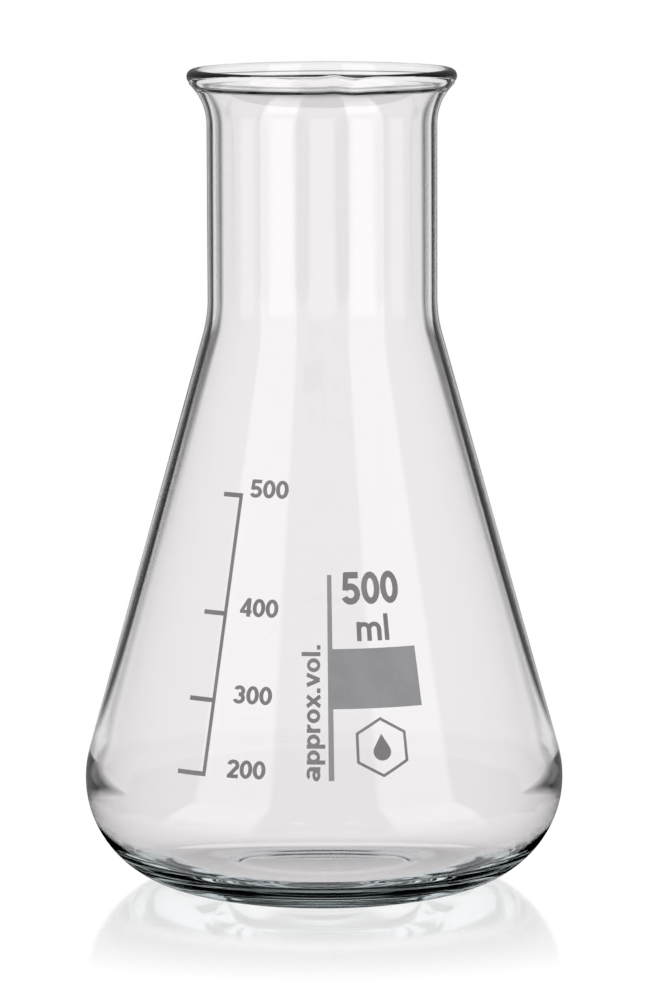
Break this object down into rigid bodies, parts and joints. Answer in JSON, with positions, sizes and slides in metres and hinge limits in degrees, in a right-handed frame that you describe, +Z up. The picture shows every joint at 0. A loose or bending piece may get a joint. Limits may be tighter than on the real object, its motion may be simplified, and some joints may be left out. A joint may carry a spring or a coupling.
{
  "type": "erlenmeyer flask",
  "caption": "Conical laboratory flask of clear glass with a wide neck, beaded rim, rounded heel, and a grey enamel volume scale, capacity label and marking field.",
  "frame": {"origin": "centre of the foot, on the surface that the flask stands on", "axes": "+Z up along the flask's axis; -Y is the front, where the volume scale and the label face"},
  "size_m": [0.105, 0.105, 0.1785],
  "materials": {
    "glass": "clear polished borosilicate glass",
    "grey_enamel": "fired warm grey enamel, satin, slightly grainy",
    "field_enamel": "fired cool grey enamel, matt for writing on"
  },
  "bodies": {
    "root": {"flask_body": "glass", "graduation_scale": "grey_enamel", "scale_500_digit_1": "grey_enamel", "scale_500_digit_2": "grey_enamel", "scale_500_digit_3": "grey_enamel", "scale_400_digit_1": "grey_enamel", "scale_400_digit_2": "grey_enamel", "scale_400_digit_3": "grey_enamel", "scale_300_digit_1": "grey_enamel", "scale_300_digit_2": "grey_enamel", "scale_300_digit_3": "grey_enamel", "scale_200_digit_1": "grey_enamel", "scale_200_digit_2": "grey_enamel", "scale_200_digit_3": "grey_enamel", "marking_field": "field_enamel", "capacity_digit_1": "grey_enamel", "capacity_digit_2": "grey_enamel", "capacity_digit_3": "grey_enamel", "unit_letter_m": "grey_enamel", "unit_letter_l": "grey_enamel", "note_letter_01": "grey_enamel", "note_letter_02": "grey_enamel", "note_letter_03": "grey_enamel", "note_letter_04": "grey_enamel", "note_letter_05": "grey_enamel", "note_letter_06": "grey_enamel", "note_letter_07": "grey_enamel", "note_letter_08": "grey_enamel", "note_letter_09": "grey_enamel", "note_letter_10": "grey_enamel", "note_letter_11": "grey_enamel", "emblem_hexagon": "grey_enamel", "emblem_drop": "grey_enamel"}
  },
  "joints": []
}
